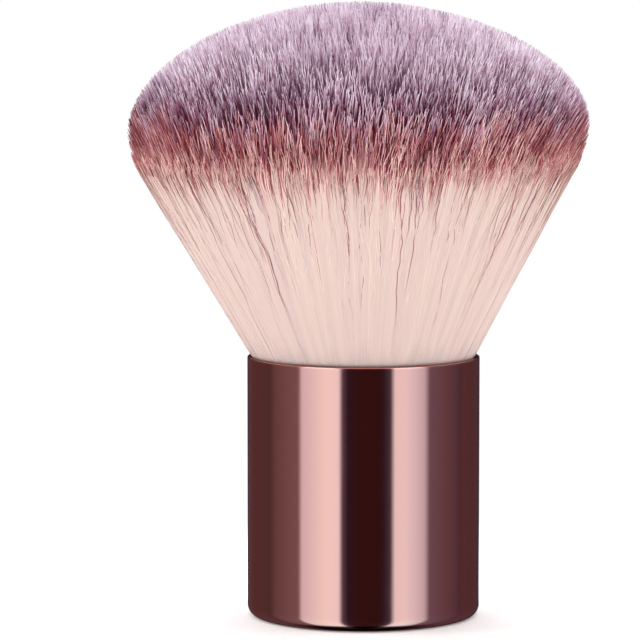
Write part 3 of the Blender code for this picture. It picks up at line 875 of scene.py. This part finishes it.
def lay_fibres(name, chosen, start, steps):
    """One piece of the chosen fibres, from their lower ends' heights, with levels at the steps."""
    count = len(chosen)
    piece, blank_co = repeat_blank(name, count, len(steps))
    mesh, points = piece.data, len(blank_co)
    level = np.rint(blank_co[:, 2]).astype(int)
    along = np.asarray(steps)[None, :]
    height = start[:, None] + (tips[chosen] - start)[:, None] * along
    path = fibre_paths(chosen, height, along)
    weight, turning = dice[chosen, 6], dice[chosen, 7]
    fine, stray = is_outer[chosen], hairline[chosen]

    thick = np.interp(height, [SHELL_HEIGHT, FULL_FROM], [MOUTH_THICKNESS, 1.0])
    thick *= np.interp(along, [0, TAPER_FROM, 1], [1, 1, TIP_THICKNESS])
    thin = np.where(stray, HAIRLINE_THICKNESS, np.where(fine, OUTER_THICKNESS, 1.0))
    own = 1 - THICKNESS_SPREAD / 2 + THICKNESS_SPREAD * weight
    thick *= (own * thin * FIBRE_RADIUS)[:, None]
    angle = np.arctan2(plan[chosen, 1], plan[chosen, 0])
    turn = angle - math.pi / 6 + np.where(fine, OUTER_TURN_SPREAD, TURN_SPREAD) * (turning - 0.5)
    cos, sin = np.cos(turn)[:, None], np.sin(turn)[:, None]
    blank_x, blank_y = blank_co[None, :, 0], blank_co[None, :, 1]
    co = np.empty((count, points, 3), np.float32)
    co[:, :, 0] = path[:, level, 0] + thick[:, level] * (blank_x * cos - blank_y * sin)
    co[:, :, 0] -= lean(height)[:, level]
    co[:, :, 1] = path[:, level, 1] + thick[:, level] * (blank_x * sin + blank_y * cos)
    co[:, :, 2] = height[:, level]
    mesh.vertices.foreach_set("co", co.ravel())

    corner = np.empty(len(mesh.loops), np.int32)
    mesh.loops.foreach_get("vertex_index", corner)
    fibre, point = corner // points, corner % points
    across = np.mod(np.arctan2(blank_co[:, 1], blank_co[:, 0]) / math.tau + 0.01, 1)
    wave = wave_round(DYE_WAVES, angle) * MM * share[chosen] ** 4
    uv = np.empty((len(corner), 2), np.float32)
    uv[:, 0] = (kind[chosen][fibre] + UV_MARGIN + UV_WIDTH * across[point]) / KINDS
    uv[:, 1] = (height + wave[:, None])[:, level][fibre, point]
    uv[:, 1] = (uv[:, 1] - UV_LOW) / (UV_HIGH - UV_LOW)
    mesh.uv_layers[UV_NAME].uv.foreach_set("vector", uv.ravel())
    mesh.update()
    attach(piece, "root")
    triangles = sum(len(p.vertices) - 2 for p in mesh.polygons)
    print(name, "has", count, "fibres and", triangles, "triangles")


# %% [markdown]
# The fibre finish is dyed polyester: a smooth plastic thread with a soft gloss along its length. It
# reads only the fibre's own UV map. The column across is the kind, which white noise turns into
# two shifts of the dye's borders. The kind's place in its row of twelve is the tone, and the row
# gives the height of the tip, from which its last two millimetres are counted. A hairline is dark,
# and its maroon starts far down and fades in slowly.

# %% Fibre finish
STRAY_TONE, STRAY_CHANCE = 0.20, 0.03
FADE, STRAY_FADE = 2.6, 4.0
TIP_LENGTH, TIP_END = 2.0, 0.2

# Fine, crisp streaks with a silky gloss.
fibre_finish, add = new_material("dyed_polyester_filament")
across, up, _ = add("SeparateXYZ", {0: add("UVMap", uv_map=UV_NAME)}).outputs
row = add("Math.MULTIPLY", {0: across, 1: float(KINDS)})
row = add("Math.FLOOR", {0: row})
chance = add("TexWhiteNoise", {"W": row}, noise_dimensions="1D").outputs["Color"]
chance = add("SeparateColor", {0: chance})
is_stray = add("Math.GREATER_THAN", {0: row, 1: KINDS - STRAYS - 0.5})
tone_in = add("Math.MODULO", {0: row, 1: float(TONES)})
tone_in = add("MapRange", span(tone_in, 0, TONES - 1))
tone_in = add("Mix", {0: is_stray, 2: tone_in, 3: STRAY_TONE})
late = add("Math.MULTIPLY_ADD", {0: chance, 1: 1 - STRAY_CHANCE, 2: STRAY_CHANCE})
early = add("Math.MULTIPLY", {0: chance, 1: STRAY_CHANCE})
rag_low = add("Mix", {0: is_stray, 2: late, 3: early})
fade = add("Mix", {0: is_stray, 2: FADE, 3: STRAY_FADE})
height = add("Math.MULTIPLY_ADD", {0: up, 1: (UV_HIGH - UV_LOW) / MM, 2: UV_LOW / MM})
tip = add("Math.MULTIPLY", {0: row, 1: 1 / TONES})
tip = add("Math.FLOOR", {0: tip})
middle = (HEAD_TOP - TIP_STEP / 2) / MM
tip = add("Math.MULTIPLY_ADD", {0: tip, 1: -TIP_STEP / MM, 2: middle})
to_tip = add("Math.SUBTRACT", {0: tip, 1: height})
tip_share = add("MapRange", span(to_tip, TIP_LENGTH, TIP_END), **SMOOTH)
colour = dye(add, height, tone_in, rag_low, chance.outputs[1], fade, tip_share)
surface = {"Base Color": colour, "Roughness": 0.45, "IOR": 1.57, "Specular IOR Level": 0.25}
add("OutputMaterial", {"Surface": add("BsdfPrincipled", surface)})
print("nodes in the fibre's finish:", len(fibre_finish.node_tree.nodes))

# %% [markdown]
# The outermost fibres show along the whole side of the head, so they run from inside the shell's
# mouth to their tips. The others only need their last 12 mm. Both groups are dealt out over four
# pieces each, so that no piece gets too many triangles.

# %% Lay the fibres
SIDE_SHARE, SIDE_START = 0.93, 33 * MM
SIDE_LEVELS = [0, 0.17, *np.linspace(0.34, 1, 16)]
DOME_LENGTH, DOME_LEVELS = 12 * MM, [0, 0.3, 0.5, 0.68, 0.85, 1]
PARTS = 4

is_side = share > SIDE_SHARE
start = np.where(is_side, SIDE_START, tips - DOME_LENGTH)
for place, group, steps in ("side", is_side, SIDE_LEVELS), ("dome", ~is_side, DOME_LEVELS):
    for part in range(PARTS):
        chosen = np.flatnonzero(group)[part::PARTS]
        lay_fibres(f"bristles_{place}_{part + 1}", chosen, start[chosen], steps)

# %% [markdown]
# ## The inner pieces
# Inside the shell lie the parts that hold the head. Their CAD shapes stay, and each gets the finish
# of its real material. A function for each finish draws its pattern and returns what mixes the two
# colours, what raises the surface and, where the gloss is uneven, what dulls it. Metal and plastic
# show how they were made.

# %% Patterns of the hard parts
def lathe_rings(add, place, feed=0.2, cloud=3.333):
    """Fine grooves, one for each step of the lathe's feed in mm, and clouds of grey."""
    rings = add("Math.MULTIPLY", {0: off_axis(add, place), 1: math.tau * per(feed)})
    rings = add("Math.SINE", {0: rings})
    stain = add("TexNoise", {"Vector": place, "Scale": per(cloud), "Detail": 5.0})
    return stain, rings, stain


def mould_grain(add, place, size=0.4, streak=11.111):
    """The fine grain of a mould, and broad streaks from the plastic's flow, in mm."""
    grain = add("TexNoise", {"Vector": place, "Scale": per(size), "Detail": 3.0})
    flow = add("TexNoise", {"Vector": place, "Scale": per(streak), "Detail": 2.0})
    return flow, grain, grain


def die_marks(add, place, wide=0.3333, tall=16.667):
    """Upright marks from the die that draws a cup, in mm."""
    marks = stretched_noise(add, place, wide, tall, 2.0)
    return marks, marks, marks


print("patterns: lathe_rings, mould_grain and die_marks")

# %% [markdown]
# The glues are cloudy or swirled inside, and the thread shows its twist.

# %% Patterns of the glues and the thread
def clouds_and_bubbles(add, place, cloud=4.545, bubble=0.8333):
    """Cloudy places and tiny bubbles, with their sizes in mm."""
    clouds = add("TexNoise", {"Vector": place, "Scale": per(cloud), "Detail": 4.0})
    bubbles = add("TexVoronoi", {"Vector": place, "Scale": per(bubble)})
    return clouds, bubbles, None


def swirls(add, place, size=5.556):
    """Soft swirls of this size in mm."""
    swirl = {"Vector": place, "Scale": per(size), "Detail": 2.0, "Distortion": 1.5}
    swirl = add("TexNoise", swirl)
    return swirl, swirl, None


def plies(add, place, spacing=0.6, around=60.0):
    """Slanting plies: their spacing in mm up the winding, and their number round it."""
    x, y, z = add("SeparateXYZ", {0: place}).outputs
    turn = add("Math.ARCTAN2", {0: x, 1: y})
    turn = add("Math.MULTIPLY", {0: turn, 1: around})
    slant = add("Math.MULTIPLY_ADD", {0: z, 1: math.tau * per(spacing), 2: turn})
    slant = add("Math.SINE", {0: slant})
    shade = add("MapRange", span(slant, -1, 1))
    return shade, shade, None


print("patterns: clouds_and_bubbles, swirls and plies")

# %% [markdown]
# One row for each piece names its material and holds its pattern, its two colours and where they
# lie, the strength and the depth in mm of its relief, and the shader's own values. A pair of
# values for the roughness follows the pattern.

# %% Inner finishes
FINISHES = [
    # A dull grey metal with fine rings.
    ("weight_slug", "turned_steel", lathe_rings, ("#9A9B9E", "#B9BABD"), (0.35, 0.7),
     (0.4, 0.01), {"Metallic": 1.0, "Roughness": (0.28, 0.45)}),
    # Off-white plastic with a fine grain.
    ("core_insert", "moulded_abs", mould_grain, ("#DEDBD2", "#E8E5DD"), (0.3, 0.7),
     (0.25, 0.02), {"Roughness": (0.38, 0.52), "IOR": 1.54}),
    # A pale satin metal with upright marks.
    ("bristle_cup", "drawn_aluminium", die_marks, ("#D9DADC", "#E9EAEC"), (0.3, 0.7),
     (0.2, 0.01), {"Metallic": 1.0, "Roughness": (0.25, 0.42)}),
    # Amber and glossy, with cloudy places and tiny bubbles.
    ("resin_plug", "cured_epoxy", clouds_and_bubbles, ("#A9772F", "#C99E58"), (0.3, 0.7),
     (0.3, 0.05), {"Roughness": 0.14, "IOR": 1.55}),
    # Milky and waxy, with soft swirls.
    ("glue_bed", "hot_melt_adhesive", swirls, ("#D6CFB4", "#E6E1CC"), (0.3, 0.7),
     (0.4, 0.1), {"Roughness": 0.34, "IOR": 1.49}),
    # Off-white thread with slanting twist lines.
    ("binding_thread", "twisted_polyester_thread", plies, ("#CFCBC1", "#F0EDE6"), (0.0, 1.0),
     (0.6, 0.05), {"Roughness": 0.72, "Sheen Weight": 0.2}),
]

for node, name, pattern, colours, places, (strength, depth), values in FINISHES:
    material, add = new_material(name)
    tint, raised, dull = pattern(add, add("TexCoord").outputs["Object"])
    colour = add("ValToRGB", {0: tint}, stops=shades(colours, places))
    relief = add("Bump", {"Strength": strength, "Distance": depth * MM, "Height": raised})
    surface = {**values, "Base Color": colour, "Normal": relief}
    if dull is not None:
        surface["Roughness"] = add("MapRange", span(dull, 0, 1, *values["Roughness"]))
    add("OutputMaterial", {"Surface": add("BsdfPrincipled", surface)})
    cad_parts[node].data.materials[0] = material
    print(node, "is", name)
